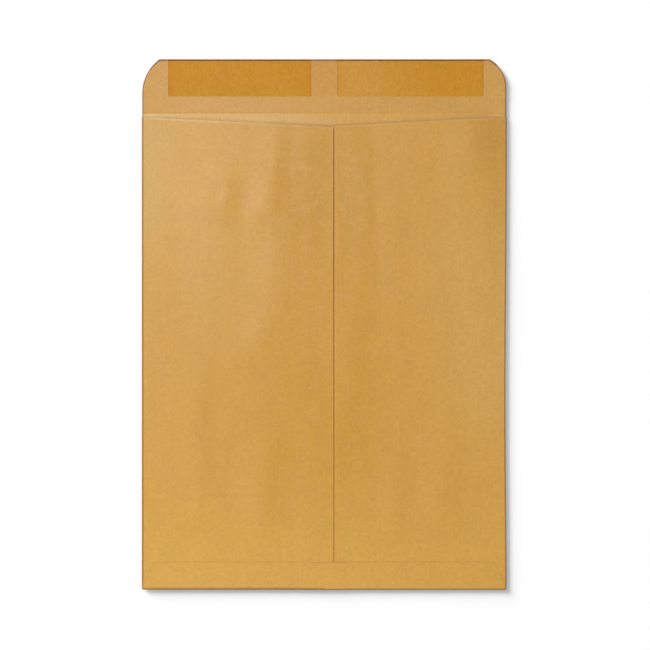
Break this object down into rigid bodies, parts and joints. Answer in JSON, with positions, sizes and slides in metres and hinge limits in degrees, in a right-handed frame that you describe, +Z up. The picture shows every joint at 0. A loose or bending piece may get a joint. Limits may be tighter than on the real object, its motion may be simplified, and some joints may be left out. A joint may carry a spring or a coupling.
{
  "type": "paper envelope",
  "caption": "Flat open-end paper envelope with a glued centre seam, a folded bottom flap and an open seal flap with dried gum strips.",
  "frame": {"origin": "on the table under the middle of the box that holds the envelope with its seal flap open", "axes": "+Y up the envelope from the bottom fold to the seal flap, +X to the right across the seam side, +Z up from the table through the seam side"},
  "size_m": [0.254, 0.3694, 0.0073],
  "materials": {
    "kraft_paper": "unbleached brown kraft paper with a faint machine glaze",
    "dried_gum": "thin satin coat of dried remoistenable gum"
  },
  "bodies": {
    "root": {"folded_sheet": "kraft_paper", "gum_strip_left": "dried_gum", "gum_strip_right": "dried_gum"}
  },
  "joints": []
}
